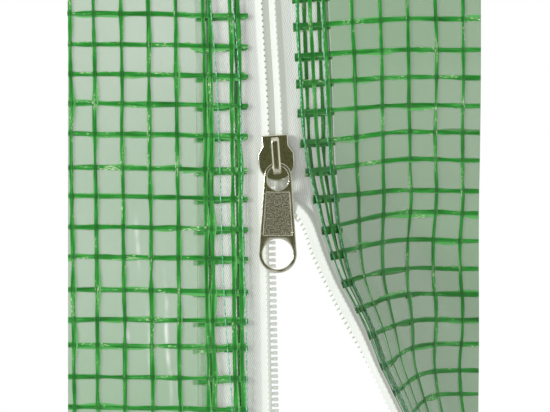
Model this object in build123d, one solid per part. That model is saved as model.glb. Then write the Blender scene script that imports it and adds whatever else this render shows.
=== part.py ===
# Zip closure of a polytunnel greenhouse door: two edges of mesh-reinforced cover film joined by a coil zip.
# Millimetres. +Z runs up along the zip, +X to the right, and the outside of the tunnel is towards -Y.
# The origin is on the straight cut edge of the left cover panel, at mid height and mid thickness of its film.

import os
from bisect import bisect_right
from math import cos, exp, hypot, radians, sin

from build123d import *

os.makedirs("parts", exist_ok=True)

# Cover film and its reinforcing mesh of flat tapes
panel_top = 61.5
panel_bottom = -62.5
right_cut = 118.0
film = 0.2
strand = 0.2
weft_width = 1.6
warp_width = 1.4

# Left panel, flat, with its hem folded under at the zip
left_fold = 51.8
left_flap = 14.6
left_weft_top = 54.7
left_weft_pitch = 8.65
left_warps = [0.7, 7.6, 15.3, 23.2, 31.0, 39.1, 41.3, 47.0, 49.4]
left_flap_warps = [40.2, 48.3]
flap_weft_overhang = 0.6
flap_weft_drop = 0.7
fold_gap = 0.1

# Right panel, whose free edge swings out towards the viewer below the slider
right_weft_top = 59.5
right_weft_pitch = 8.05
right_weft_rise = 1.2
right_weft_rise_step = 0.33
weft_knee = 0.3
weft_knee_rise = 0.6
right_warps = [1.4, 5.1, 9.1, 17.0, 25.0, 32.9, 40.9, 48.8]
right_flap_warps = [3.2, 7.4]
column_lengths = [5.0, 10.3, 20.0, 30.0, 38.0]
least_column = 0.4
sheet_steps = 11
closed_edge = 6.8
open_edge = 4.6
bend_depth = 48.0
bend_from = 45.0
bend_to = -75.0
bend_reach_top = 15.6
bend_reach_bottom = 5.7
forward_lift = 25.0
lift_from = 7.0
lift_to = -50.0
opening_from = 10.0
opening_to = -10.0

# Coil zip
tape = 0.5
left_tape_width = 20.6
tape_to_centre = 0.7
ridge = 0.55
ridge_at_centre = 0.25
ridge_crest = 1.9
ridge_foot = 4.84
open_crest = 3.3
open_crest_rise = 3.3
open_edge_rise = 2.2
open_foot = 3.95
open_foot_rise = 1.65
open_tilt = 23.0
coil_pitch = 1.66
coil_depth = 2.2
coil_wire = 0.5
coil_leg = 0.52
coil_head = 0.8
coil_head_length = 0.6
coil_nose = 0.75
coil_back = 2.9
coil_chamfer = 0.4
coil_margin = 0.6
open_coil_gap = 0.25
mouth_slack = 0.6
line_step = 0.5

# Centre line of the zip as seen from the front, from the top down, as (x, z)
zip_line = [(57.0, 62.5), (57.4, 54.6), (59.0, 27.0), (59.2, 19.7), (58.25, 8.0), (58.6, -10.0), (59.6, -63.5)]
# The right stringer leaves the same line inside the slider and runs out to the right
open_line = [(61.15, 8.0), (68.5, -5.4), (73.2, -20.6), (80.8, -35.7), (91.8, -58.9), (94.0, -63.5)]
zip_split = 17.5

# Slider
slider_x = 59.45
slider_z = 14.0
slider_lean = -4.0
slider_half = 5.15
slider_neck_half = 3.75
slider_top = 6.3
slider_neck = 3.1
slider_shoulder = 0.9
slider_waist = -1.7
plate = 1.1
plate_edge = 0.2
back_plate = 1.0
flange = 0.75
flange_end = -3.0
flange_lead = 1.0
tape_clearance = 0.2
coil_clearance = 0.2
post_half = 0.45
post_top = -0.5
post_bottom = -6.0
post_widest = 0.4

# Bail, the strap that carries the pull on the slider
bail_width = 2.4
bail_height = 3.6
bail_strap = 1.1
bail_top = 5.6
bail_bottom = -4.9
slot_top = 4.2
slot_bottom = -3.1
bail_round = 1.4

# Pull tab, hanging from the bail
tab_x = 59.95
pivot_z = 11.86
pivot_gap = 1.25
tab = 1.3
rim = 1.0
eye_radius = 3.0
eye_stretch = 0.9
tab_top_half = 3.9
tab_end_half = 5.4
hole_drop = 25.56
hole_radius = 4.37
recess = 0.25
recess_rim = 0.9
recess_top = 8.0
recess_bottom = 20.2

# Levels through the thickness, from the front of the film to the back of the coil
film_front = -film / 2
weft_front = film_front - strand
flap_front = film / 2 + fold_gap
flap_back = flap_front + film
tape_front = flap_back + 2 * strand
tape_rear = tape_front + tape
coil_front = tape_rear - ridge_at_centre
coil_rear = coil_front + coil_depth
plate_rear = tape_front - ridge - tape_clearance
plate_front = plate_rear - plate
back_front = coil_rear + coil_clearance
panel_height = panel_top - panel_bottom


def block(low, high):
    size = [b - a for a, b in zip(low, high)]
    return Pos(*low) * Box(*size, align=(Align.MIN, Align.MIN, Align.MIN))


def ease(start, stop, value):
    share = min(max((value - start) / (stop - start), 0.0), 1.0)
    return share * share * (3 - 2 * share)


def save(shapes, name):
    solids = [solid for shape in shapes for solid in shape.solids()]
    export_step(Compound(children=solids) if len(solids) > 1 else solids[0], f"parts/{name}.step")


# Lines of the zip, read as x at a height
def sampled(points, count=160):
    curve = Spline(*[(x, z) for x, z in points])
    found = [curve.position_at(i / count) for i in range(count + 1)]
    return sorted((p.Y, p.X) for p in found)


closed_samples = sampled(zip_line)
open_samples = sampled([(zip_x, zip_z) for zip_x, zip_z in open_line])


def read_line(samples, z):
    i = min(max(bisect_right(samples, (z, 0.0)), 1), len(samples) - 1)
    (z0, x0), (z1, x1) = samples[i - 1], samples[i]
    return x0 + (x1 - x0) * (z - z0) / (z1 - z0)


def left_x(z):
    return read_line(closed_samples, z)


def right_x(z):
    if z >= zip_split:
        return left_x(z)
    mouth = open_line[0][1]
    if z >= mouth:
        share = ease(zip_split, mouth, z)
        return left_x(z) + (open_line[0][0] - left_x(mouth)) * share
    return read_line(open_samples, z)


# The bend of the right panel, from its fold at the zip outwards
def opening(z):
    return ease(opening_from, opening_to, z)


def blend(closed, opened, z):
    return closed + (opened - closed) * opening(z)


def right_edge(z):
    return blend(closed_edge, open_edge, z)


def sheet_y(across, z):
    lift = -forward_lift * ease(lift_from, lift_to, z)
    depth = bend_depth * ease(bend_from, bend_to, z)
    reach_here = bend_reach_bottom + (bend_reach_top - bend_reach_bottom) * (z - panel_bottom) / panel_height
    run = max(across - right_edge(z), 0.0) / reach_here
    return lift + depth * (1 - exp(-run))


# How far across a stretch of cloth reaches, laid along the bend from the film's edge
def reach(z, length, step=0.1):
    across = right_edge(z)
    laid = 0.0
    while laid < length:
        laid += hypot(step, sheet_y(across + step, z) - sheet_y(across, z))
        across += step
    return across - (laid - length) / hypot(1, (sheet_y(across, z) - sheet_y(across - step, z)) / step)


def heights(count):
    return [panel_bottom + panel_height * i / count for i in range(count + 1)]


# One row of the sheet: the zip tape over the coil, the film's edge, then columns laid along the bend
def sheet_row(z):
    line = right_x(z)
    fold_y = sheet_y(right_edge(z), z)
    row = [
        (line + tape_to_centre, fold_y - blend(ridge_at_centre, open_edge_rise, z)),
        (line + blend(ridge_crest, open_crest, z), fold_y - blend(ridge, open_crest_rise, z)),
        (line + blend(ridge_foot, open_foot, z), fold_y - blend(0.0, open_foot_rise, z)),
        (line + right_edge(z), fold_y),
    ]
    last = right_cut - line
    for i, length in enumerate(column_lengths):
        across = min(reach(z, length), last - least_column * (len(column_lengths) - i))
        row.append((line + across, sheet_y(across, z)))
    row.append((right_cut, sheet_y(last, z)))
    return row


film_column = 3
hem_column = film_column + 2
last_column = film_column + len(column_lengths) + 1
sheet_rows = [(z, sheet_row(z)) for z in heights(sheet_steps)]


# The tape's edge beside the coil, between two rows of the sheet
def tape_edge(z):
    step = panel_height / sheet_steps
    i = min(max(int((z - panel_bottom) / step), 0), sheet_steps - 1)
    share = (z - sheet_rows[i][0]) / step
    (x0, y0), (x1, y1) = sheet_rows[i][1][0], sheet_rows[i + 1][1][0]
    return Vector(x0 + (x1 - x0) * share, y0 + (y1 - y0) * share, z)


def polygon(*corners):
    return Face(Wire.make_polygon(corners, close=True))


# A thin layer of flat facets through rows of points, its rear a plain step behind its front
def layer(front, thickness):
    rear = [[point + Vector(0, thickness, 0) for point in row] for row in front]
    faces = []
    for i in range(len(front) - 1):
        for j in range(len(front[0]) - 1):
            for side in (front, rear):
                faces.append(polygon(side[i][j], side[i][j + 1], side[i + 1][j + 1]))
                faces.append(polygon(side[i][j], side[i + 1][j + 1], side[i + 1][j]))
        for j in (0, -1):
            faces.append(polygon(front[i][j], front[i + 1][j], rear[i + 1][j], rear[i][j]))
    for i in (0, -1):
        for j in range(len(front[0]) - 1):
            faces.append(polygon(front[i][j], front[i][j + 1], rear[i][j + 1], rear[i][j]))
    return Solid(Shell(faces))


def bent_layer(first, last, level, thickness):
    return layer([[Vector(x, y + level, z) for x, y in row[first : last + 1]] for z, row in sheet_rows], thickness)


# A strip seen from the front, cut out of a layer
def strip(points, sheet):
    outline = make_face(Polyline(*points, close=True))
    deep = bend_depth + forward_lift
    prism = Pos(0, deep, 0) * Rot(90, 0, 0) * extrude(outline, 2 * deep, dir=(0, 0, 1))
    return sheet & prism


# Left panel
def left_film():
    outer = film + fold_gap / 2
    inner = fold_gap / 2
    bend_x = left_fold - outer
    front = block((0, film_front, panel_bottom), (bend_x, film / 2, panel_top))
    flap = block((left_fold - left_flap, flap_front, panel_bottom), (bend_x, flap_back, panel_top))
    half = block((0, -outer, -panel_height), (outer, outer, panel_height))
    bend = (Cylinder(outer, panel_height) - Cylinder(inner, panel_height)) & half
    return front + flap + Pos(bend_x, film / 2 + inner, (panel_top + panel_bottom) / 2) * bend


def left_weft_heights():
    count = int((left_weft_top - panel_bottom) / left_weft_pitch) + 1
    return [left_weft_top - left_weft_pitch * i for i in range(count)]


def left_wefts():
    low, high = -weft_width / 2, weft_width / 2
    end = left_fold - film - fold_gap / 2
    return [block((0, weft_front, z + low), (end, film_front, z + high)) for z in left_weft_heights()]


def left_warp_bars():
    low, high = -warp_width / 2, warp_width / 2
    front = weft_front - strand
    return [block((x + low, front, panel_bottom), (x + high, weft_front, panel_top)) for x in left_warps]


def left_flap_wefts():
    start = left_fold - left_flap - flap_weft_overhang
    end = left_fold - film - fold_gap / 2
    low, high = -weft_width / 2 - flap_weft_drop, weft_width / 2 - flap_weft_drop
    return [block((start, flap_back, z + low), (end, flap_back + strand, z + high)) for z in left_weft_heights()]


def left_flap_warp_bars():
    low, high = -warp_width / 2, warp_width / 2
    front = flap_back + strand
    return [block((x + low, front, panel_bottom), (x + high, tape_front, panel_top)) for x in left_flap_warps]


# Right panel, whose tapes bend down as they near the fold
def right_weft_strips(sheet):
    count = int((right_weft_top - panel_bottom) / right_weft_pitch) + 1
    bars = []
    for row in range(count):
        z = right_weft_top - right_weft_pitch * row
        edge_x = right_x(z) + right_edge(z)
        rise = right_weft_rise + right_weft_rise_step * row
        knee = (edge_x + (right_cut - edge_x) * weft_knee, z + rise * weft_knee_rise)
        slope = (knee[1] - z) / (knee[0] - edge_x)
        upper = [(left_fold, z - slope * (edge_x - left_fold)), knee, (right_cut + 1, z + rise)]
        upper = [(x, height + weft_width / 2) for x, height in upper]
        lower = [(x, height - weft_width) for x, height in upper]
        bars.append(strip(upper + lower[::-1], sheet))
    return bars


def right_warp_strips(sheet, lengths):
    bars = []
    levels = [panel_bottom - 1] + heights(sheet_steps)[1:-1] + [panel_top + 1]
    for length in lengths:
        lefts = [(right_x(z) + reach(z, length - warp_width / 2), z) for z in levels]
        rights = [(right_x(z) + reach(z, length + warp_width / 2), z) for z in levels]
        bars.append(strip(lefts + rights[::-1], sheet))
    return bars


# Zip tapes, each raised in a ridge over its coil
def left_tape():
    profile = [(tape_to_centre, ridge_at_centre), (ridge_crest, ridge), (ridge_foot, 0.0)]
    profile.append((tape_to_centre + left_tape_width, 0.0))
    rows = []
    for z in heights(sheet_steps):
        rows.append([Vector(left_x(z) - across, tape_front - rise, z) for across, rise in reversed(profile)])
    return layer(rows, tape)


def right_tape():
    return bent_layer(0, hem_column, tape_front, tape)


# One turn of the coil, with its head towards +X, its front on y = 0 and its centre line at x = 0
def coil_turn():
    corner = coil_nose - coil_chamfer
    ring = Polyline(
        (-coil_back, 0),
        (corner, 0),
        (coil_nose, coil_wire),
        (coil_nose, coil_depth - coil_wire),
        (corner, coil_depth),
        (-coil_back, coil_depth),
        close=True,
    )
    inside_left, inside_right = coil_wire - coil_back, coil_nose - coil_head_length
    inside = Rectangle(inside_right - inside_left, coil_depth - 2 * coil_wire)
    profile = make_face(ring) - Pos((inside_left + inside_right) / 2, coil_depth / 2) * inside
    leg = Pos(0, 0, -coil_leg / 2) * extrude(profile, coil_leg)
    head_zone = block((inside_right, 0, -coil_head / 2), (coil_nose, coil_depth, coil_head / 2))
    head = Pos(0, 0, -coil_head / 2) * extrude(make_face(ring), coil_head) & head_zone
    return leg + head


# Turns of the closed chain, square to the zip line
def straight_turns(turn, first, last):
    placed = []
    for i in range(int((first - last) / coil_pitch) + 1):
        z = first - coil_pitch * i
        lean = Vector(left_x(z + line_step) - left_x(z - line_step), 0, 2 * line_step)
        plane = Plane(origin=(left_x(z), coil_front, z), x_dir=Vector(lean.Z, 0, -lean.X), z_dir=lean)
        placed.append(plane * turn)
    return placed


def left_coil():
    return straight_turns(coil_turn(), panel_top - coil_margin, panel_bottom + coil_margin)


def right_coil_closed():
    turn = mirror(coil_turn(), Plane.YZ)
    return straight_turns(turn, panel_top - coil_margin - coil_pitch / 2, zip_split + mouth_slack)


# Turns of the free right stringer, which lie behind the edge of its tape and turn with it
def right_coil_open():
    turn = mirror(coil_turn(), Plane.YZ)
    placed = []
    z = open_line[0][1] + mouth_slack
    while z > panel_bottom + coil_margin + coil_pitch / 2:
        tilt = radians(open_tilt * opening(z))
        outwards = Vector(cos(tilt), -sin(tilt), 0)
        rear = Vector(sin(tilt), cos(tilt), 0)
        ahead = (tape_edge(z + line_step) - tape_edge(z - line_step)).normalized()
        across = (outwards - ahead * outwards.dot(ahead)).normalized()
        start = tape_edge(z) + Vector(0, tape_rear, 0) + rear * open_coil_gap * opening(z)
        plane = Plane(origin=start - across * tape_to_centre, x_dir=across, z_dir=ahead)
        placed.append(plane * turn)
        z -= coil_pitch * ahead.Z
    return placed


# Slider
def slider_place():
    return Pos(slider_x, 0, slider_z) * Rot(0, slider_lean, 0)


def slider_outline(inset=0.0):
    half = slider_half - inset
    neck = slider_neck_half - inset
    corner = (neck, slider_top)
    path = [
        Line((-neck, slider_top), corner),
        Line(corner, (neck, slider_neck)),
        Line((neck, slider_neck), (half, slider_shoulder)),
        Line((half, slider_shoulder), (half, slider_waist)),
        ThreePointArc((half, slider_waist), (0, slider_waist - half), (-half, slider_waist)),
        Line((-half, slider_waist), (-half, slider_shoulder)),
        Line((-half, slider_shoulder), (-neck, slider_neck)),
        Line((-neck, slider_neck), (-neck, slider_top)),
    ]
    return Face(Wire(path))


def slab(face, front, rear):
    return Pos(0, rear, 0) * Rot(90, 0, 0) * extrude(face, rear - front, dir=(0, 0, 1))


def slider_front():
    body = slab(slider_outline(), plate_front, plate_rear)
    edges = body.faces().sort_by(Axis.Y)[0].edges()
    return slider_place() * chamfer(edges, plate_edge)


def slider_back():
    body = slab(slider_outline(), back_front, back_front + back_plate)
    body = chamfer(body.faces().sort_by(Axis.Y)[-1].edges(), plate_edge)
    band = slider_outline() - slider_outline(flange)
    sides = slider_top - flange_lead - flange_end
    keep = Pos(0, flange_end + sides / 2) * Rectangle(4 * slider_half, sides)
    walls = slab(band & keep, tape_rear + tape_clearance, back_front)
    return slider_place() * (body + walls)


def slider_post():
    middle = post_bottom + (post_top - post_bottom) * post_widest
    kite = make_face(
        Polyline((0, post_top), (post_half, middle), (0, post_bottom), (-post_half, middle), close=True)
    )
    return slider_place() * slab(kite, plate_rear, back_front)


def slider_bail():
    front = plate_front - bail_height
    outer = make_face(
        Polyline(
            (plate_front, bail_top), (front, bail_top), (front, bail_bottom), (plate_front, bail_bottom), close=True
        )
    )
    outer = fillet(outer.vertices().sort_by(Axis.X)[:2], bail_round)
    slot = Pos((plate_front + front + bail_strap) / 2, (slot_top + slot_bottom) / 2) * Rectangle(
        bail_height - bail_strap, slot_top - slot_bottom
    )
    arch = outer - slot
    strap = extrude(arch, bail_width)
    upright = Plane(origin=(-bail_width / 2, 0, 0), x_dir=(0, 1, 0), z_dir=(1, 0, 0))
    return slider_place() * (upright.location * strap)


# Half the pull tab's width at a drop below its pivot
def tab_half(drop):
    shoulder = tab_top_half - rim / 2
    return tab_top_half + (tab_end_half - tab_top_half) * (drop - shoulder) / (hole_drop - shoulder)


# Pull tab, drawn from its pivot downwards
def pull_tab():
    pivot_y = plate_front - pivot_gap
    top_centre = rim / 2 - tab_top_half
    end_centre = -hole_drop
    outline = Face(
        Wire(
            [
                ThreePointArc((-tab_top_half, top_centre), (0, rim / 2), (tab_top_half, top_centre)),
                Line((tab_top_half, top_centre), (tab_end_half, end_centre)),
                ThreePointArc((tab_end_half, end_centre), (0, end_centre - tab_end_half), (-tab_end_half, end_centre)),
                Line((-tab_end_half, end_centre), (-tab_top_half, top_centre)),
            ]
        )
    )
    eye_top = -rim / 2 - eye_radius
    eye = Pos(0, eye_top - eye_stretch / 2) * Rot(0, 0, 90) * SlotCenterToCenter(eye_stretch, 2 * eye_radius)
    blank = outline - eye - Pos(0, end_centre) * Circle(hole_radius)
    body = slab(blank, -tab / 2, tab / 2)
    recess_top_half = tab_half(recess_top) - recess_rim
    recess_bottom_half = tab_half(recess_bottom) - recess_rim
    field = make_face(
        Polyline(
            (-recess_top_half, -recess_top),
            (recess_top_half, -recess_top),
            (recess_bottom_half, -recess_bottom),
            (-recess_bottom_half, -recess_bottom),
            close=True,
        )
    )
    body -= slab(field, -tab / 2, -tab / 2 + recess)
    body -= slab(field, tab / 2 - recess, tab / 2)
    return Pos(tab_x, pivot_y, pivot_z) * body


save([left_film()], "left_film")
save(left_wefts(), "left_weft_tapes")
save(left_warp_bars(), "left_warp_tapes")
save(left_flap_wefts(), "left_hem_weft_tapes")
save(left_flap_warp_bars(), "left_hem_warp_tapes")
save([left_tape()], "left_zip_tape")
save(left_coil(), "left_coil")
save([slider_front()], "slider_front_plate")
save([slider_back()], "slider_back_plate")
save([slider_post()], "slider_post")
save([slider_bail()], "slider_bail")
save([pull_tab()], "pull_tab")
save([bent_layer(film_column, last_column, film_front, film)], "right_film")
save([bent_layer(film_column, hem_column, flap_front, film)], "right_hem_flap")
save(right_weft_strips(bent_layer(film_column, last_column, weft_front, strand)), "right_weft_tapes")
warp_sheet = bent_layer(film_column, last_column, weft_front - strand, strand)
save(right_warp_strips(warp_sheet, right_warps), "right_warp_tapes")
save(right_weft_strips(bent_layer(film_column, hem_column, flap_back, strand)), "right_hem_weft_tapes")
hem_warp_sheet = bent_layer(film_column, hem_column, flap_back + strand, strand)
save(right_warp_strips(hem_warp_sheet, right_flap_warps), "right_hem_warp_tapes")
save([right_tape()], "right_zip_tape")
save(right_coil_closed(), "right_coil_closed")
save(right_coil_open(), "right_coil_open")
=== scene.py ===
import bisect
import math

import bpy
from mathutils import Matrix, Vector, noise


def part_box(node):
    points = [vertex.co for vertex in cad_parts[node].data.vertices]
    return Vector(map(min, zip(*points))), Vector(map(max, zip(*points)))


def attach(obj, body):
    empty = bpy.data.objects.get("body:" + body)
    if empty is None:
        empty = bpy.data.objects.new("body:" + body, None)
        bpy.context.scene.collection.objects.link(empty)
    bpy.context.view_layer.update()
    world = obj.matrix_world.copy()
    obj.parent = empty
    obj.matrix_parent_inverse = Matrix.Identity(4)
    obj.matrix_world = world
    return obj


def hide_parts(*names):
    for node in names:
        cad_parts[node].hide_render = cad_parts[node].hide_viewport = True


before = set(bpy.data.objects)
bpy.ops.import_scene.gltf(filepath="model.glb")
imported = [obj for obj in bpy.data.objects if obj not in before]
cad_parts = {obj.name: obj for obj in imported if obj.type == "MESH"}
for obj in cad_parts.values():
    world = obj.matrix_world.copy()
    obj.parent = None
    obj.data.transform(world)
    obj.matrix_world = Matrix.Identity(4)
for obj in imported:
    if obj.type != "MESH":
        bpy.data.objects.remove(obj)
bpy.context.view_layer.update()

mm = 0.001
filmLow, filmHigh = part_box("left_film")
bottom, top = filmLow.z / mm, filmHigh.z / mm
tall = top - bottom
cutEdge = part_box("right_film")[1].x / mm


# Small helpers
def deselectAll():
    if bpy.context.mode != "OBJECT":
        bpy.ops.object.mode_set(mode="OBJECT")
    bpy.ops.object.select_all(action="DESELECT")


def makeActive(piece):
    deselectAll()
    piece.select_set(True)
    bpy.context.view_layer.objects.active = piece


def linked(name, data):
    holder = bpy.data.objects.new(name, data)
    bpy.context.scene.collection.objects.link(holder)
    return holder


def ease(start, stop, value):
    share = min(max((value - start) / (stop - start), 0.0), 1.0)
    return share * share * (3 - 2 * share)


def mix(a, b, share):
    return a + (b - a) * share


def heightOf(v):
    return mix(bottom, top, v)


# The step of a rising table that a value falls in
def stepOf(table, value):
    return min(max(bisect.bisect_right(table, value) - 1, 0), len(table) - 2)


def wobble(seed, along, size):
    return noise.noise(Vector((along / size, seed * 7.31, seed * 1.73)))  # about -1 to 1, the same each run


def joined(pieces, name):
    deselectAll()
    for piece in pieces:
        piece.select_set(True)
    bpy.context.view_layer.objects.active = pieces[0]
    if len(pieces) > 1:
        bpy.ops.object.join()
    whole = bpy.context.object
    whole.name = whole.data.name = name
    return whole


def thicken(piece, thickness, offset=0):
    makeActive(piece)
    shell = piece.modifiers.new("thickness", "SOLIDIFY")
    shell.thickness = thickness * mm
    shell.offset = offset
    bpy.ops.object.modifier_apply(modifier=shell.name)


def smooth(piece, angle):
    makeActive(piece)
    bpy.ops.object.shade_smooth_by_angle(angle=math.radians(angle))


def finishPiece(piece, angle, material, slot, *nodes, body="closure"):
    smooth(piece, angle)
    piece.data.materials.clear()
    piece.data.materials.append(material)
    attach(piece, body)
    if nodes:
        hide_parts(*nodes)
    return piece


# A grid of points laid out by spot(u, v), with u and v from 0 to 1, and its map in metres laid out by laid(u, v)
def laidGrid(name, columns, rows, spot, laid):
    deselectAll()
    bpy.ops.mesh.primitive_grid_add(x_subdivisions=columns, y_subdivisions=rows, size=1)
    sheet = bpy.context.object
    sheet.name = name
    shares = [(point.co.x + 0.5, point.co.y + 0.5) for point in sheet.data.vertices]
    for point, (u, v) in zip(sheet.data.vertices, shares):
        point.co = Vector(spot(u, v)) * mm
    places = [laid(u, v) for u, v in shares]
    uv = sheet.data.uv_layers.active.data
    for loop in sheet.data.loops:
        across, along = places[loop.vertex_index]
        uv[loop.index].uv = (across * mm, along * mm)
    return sheet


# A value at each point of a sheet, which its material reads
def markPoints(sheet, name, valueOf):
    mark = sheet.data.attributes.new(name, "FLOAT", "POINT")
    for index, point in enumerate(sheet.data.vertices):
        mark.data[index].value = valueOf(index, point.co / mm)


# Turns and places a template so that its axes lie along three directions
def placed(x, y, z, place):
    matrix = Matrix((x, y, z)).transposed().to_4x4()
    matrix.translation = place * mm
    return matrix


def copied(template, matrices, name):
    copies = []
    for matrix in matrices:
        copy = linked(name, template.data.copy())
        copy.data.transform(matrix)
        if matrix.to_3x3().determinant() < 0:
            copy.data.flip_normals()
        copies.append(copy)
    bpy.data.objects.remove(template)
    return joined(copies, name)


# A smooth line through a few points, read as x at a height
class ZipLine:
    def __init__(self, points):
        self.heights = [z for x, z in reversed(points)]
        self.places = [x for x, z in reversed(points)]
        spots = list(zip(self.places, self.heights))
        steps = [(b[0] - a[0]) / (b[1] - a[1]) for a, b in zip(spots, spots[1:])]
        self.slopes = [steps[0]] + [(a + b) / 2 for a, b in zip(steps, steps[1:])] + [steps[-1]]

    def at(self, z):
        i = stepOf(self.heights, z)
        gap = self.heights[i + 1] - self.heights[i]
        t = (z - self.heights[i]) / gap
        a, b = self.places[i], self.places[i + 1]
        m, n = self.slopes[i] * gap, self.slopes[i + 1] * gap
        held = (2 * t**3 - 3 * t * t + 1) * a + (3 * t * t - 2 * t**3) * b
        return held + (t**3 - 2 * t * t + t) * m + (t**3 - t * t) * n


# A point on the smooth curve through a few points, by its count along them
def throughPoints(points, count):
    i = min(max(int(count), 0), len(points) - 2)
    t = count - i
    before, a, b, after = points[max(i - 1, 0)], points[i], points[i + 1], points[min(i + 2, len(points) - 1)]
    curved = (2 * before - 5 * a + 4 * b - after) * t * t + (3 * a - before - 3 * b + after) * t**3
    return 0.5 * (2 * a + (b - before) * t + curved)


# The zip's centre line, and the line on which the right stringer leaves it
zipShape = {
    "closed": [(57.0, 62.5), (57.4, 54.6), (59.0, 27.0), (59.2, 19.7), (58.25, 8.0), (58.6, -10.0), (59.6, -63.5)],
    "open": [
        (59.1, 17.5), (58.55, 8.0), (59.6, 3.2), (65.85, -3.4), (69.55, -13.1), (72.62, -19.8),
        (77.25, -29.3), (83.15, -40.4), (87.25, -48.8), (91.18, -57.25), (94.05, -63.5),
    ],
    "folds": [
        (63.9, 61.5), (64.29, 51.5), (65.14, 35.3), (65.54, 26.9), (66.29, 18.3), (67.71, 10.0), (69.83, 2.3),
        (72.26, -6.6), (74.66, -13.8), (77.84, -21.7), (81.64, -28.8), (85.22, -36.1), (88.61, -44.7),
        (92.24, -52.1), (95.05, -57.9), (97.8, -63.5),
    ],
    "split": 17.5,
    "mouth": 8.0,
    "nose": 0.75,
    "tapeFront": 0.8,
    "tape": 0.5,
    "coilFront": 1.05,
    "pitch": 1.66,
}
closedLine = ZipLine(zipShape["closed"])
openLine = ZipLine(zipShape["open"])
foldLine = ZipLine(zipShape["folds"])


def rightLine(z):
    return closedLine.at(z) if z >= zipShape["split"] else openLine.at(z)


# The bend of the right panel, in steps across from its fold
bend = {
    "depth": 48.0,
    "depthFrom": 45.0,
    "depthTo": -75.0,
    "reachTop": 15.6,
    "reachBottom": 5.7,
    "lift": 25.0,
    "liftFrom": 7.0,
    "liftTo": -50.0,
    "step": 0.25,
    "steps": 280,
    "partFrom": 10.0,
    "partTo": -10.0,
    "tight": 0.6,
}


# How far the right panel has left the closed zip at a height, from 0 to 1
def opening(z):
    return ease(bend["partFrom"], bend["partTo"], z)


def liftAt(z):
    return -bend["lift"] * ease(bend["liftFrom"], bend["liftTo"], z)


def bendY(run, z):
    depth = bend["depth"] * ease(bend["depthFrom"], bend["depthTo"], z)
    reach = mix(bend["reachBottom"], bend["reachTop"], (z - bottom) / tall)
    return liftAt(z) + depth * (1 - math.exp(-max(run, 0.0) / reach))


arcTables = {}


# Lengths laid along the bend at a height, one for each step across
def arcTable(z):
    key = round(z, 2)
    if key not in arcTables:
        laid, total, last = [0.0], 0.0, bendY(0.0, key)
        for i in range(1, bend["steps"]):
            place = bendY(i * bend["step"], key)
            total += math.hypot(bend["step"], place - last)
            laid.append(total)
            last = place
        arcTables[key] = laid
    return arcTables[key]


# The run across at which the bend has a given length
def runAt(z, arc):
    laid = arcTable(z)
    i = stepOf(laid, arc)
    return (i + (arc - laid[i]) / (laid[i + 1] - laid[i])) * bend["step"]


# How far along the bend a run across reaches
def arcAt(z, run):
    laid = arcTable(z)
    return laid[min(int(run / bend["step"]), len(laid) - 1)]


# The panel's own width at a height, from its fold to its cut edge
def arcLength(z):
    return arcAt(z, cutEdge - foldLine.at(z))


# The layers behind the film lie closer together where the panel stands edge-on
def tight(z):
    return mix(1.0, bend["tight"], opening(z))


# A point of the right panel, standing back from its film by a level
def rightSpot(run, z, level):
    near = 0.05
    slope = (bendY(run + near, z) - bendY(max(run - near, 0.0), z)) / (near + min(max(run, 0.0), near))
    size = math.hypot(slope, 1)
    return Vector((foldLine.at(z) + run - level * slope / size, bendY(run, z) + level / size, z))


print("frame read:", len(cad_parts), "nodes")


# Materials: the nodes of one tree, whether a material's, a group's or the world's
class Nodes:
    def __init__(self, tree):
        self.nodes, self.links = tree.nodes, tree.links

    def put(self, value, socket):
        if isinstance(value, bpy.types.NodeSocket):
            self.links.new(value, socket)
        else:
            socket.default_value = (*value, 1) if isinstance(value, tuple) else value

    def calc(self, kind, a, b=0.0, clamp=False):
        node = self.nodes.new("ShaderNodeMath")
        node.operation, node.use_clamp = kind, clamp
        self.put(a, node.inputs[0])
        self.put(b, node.inputs[1])
        return node.outputs[0]

    def times(self, a, b, clamp=False):
        return self.calc("MULTIPLY", a, b, clamp)

    def plus(self, a, b, clamp=False):
        return self.calc("ADD", a, b, clamp)

    def minus(self, a, b, clamp=False):
        return self.calc("SUBTRACT", a, b, clamp)

    def apart(self, vector):
        node = self.nodes.new("ShaderNodeSeparateXYZ")
        self.links.new(vector, node.inputs[0])
        return list(node.outputs)

    def noise(self, vector, scale, detail=2.0):
        node = self.nodes.new("ShaderNodeTexNoise")
        for value, socket in ((vector, "Vector"), (scale, "Scale"), (detail, "Detail")):
            self.put(value, node.inputs[socket])
        return node.outputs["Fac"]

    def ramp(self, value, stops):
        node = self.nodes.new("ShaderNodeValToRGB")
        elements = node.color_ramp.elements
        for index, (place, colour) in enumerate(stops):
            element = elements[index] if index < 2 else elements.new(place)
            element.position = place
            element.color = (*colour, 1)
        self.links.new(value, node.inputs[0])
        return node.outputs[0]

    def blend(self, share, a, b):
        node = self.nodes.new("ShaderNodeMix")
        node.data_type = "RGBA"
        for index, value in ((0, share), (6, a), (7, b)):
            self.put(value, node.inputs[index])
        return node.outputs[2]

    def ray(self, kind):
        return self.nodes.new("ShaderNodeLightPath").outputs[f"Is {kind} Ray"]


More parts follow.
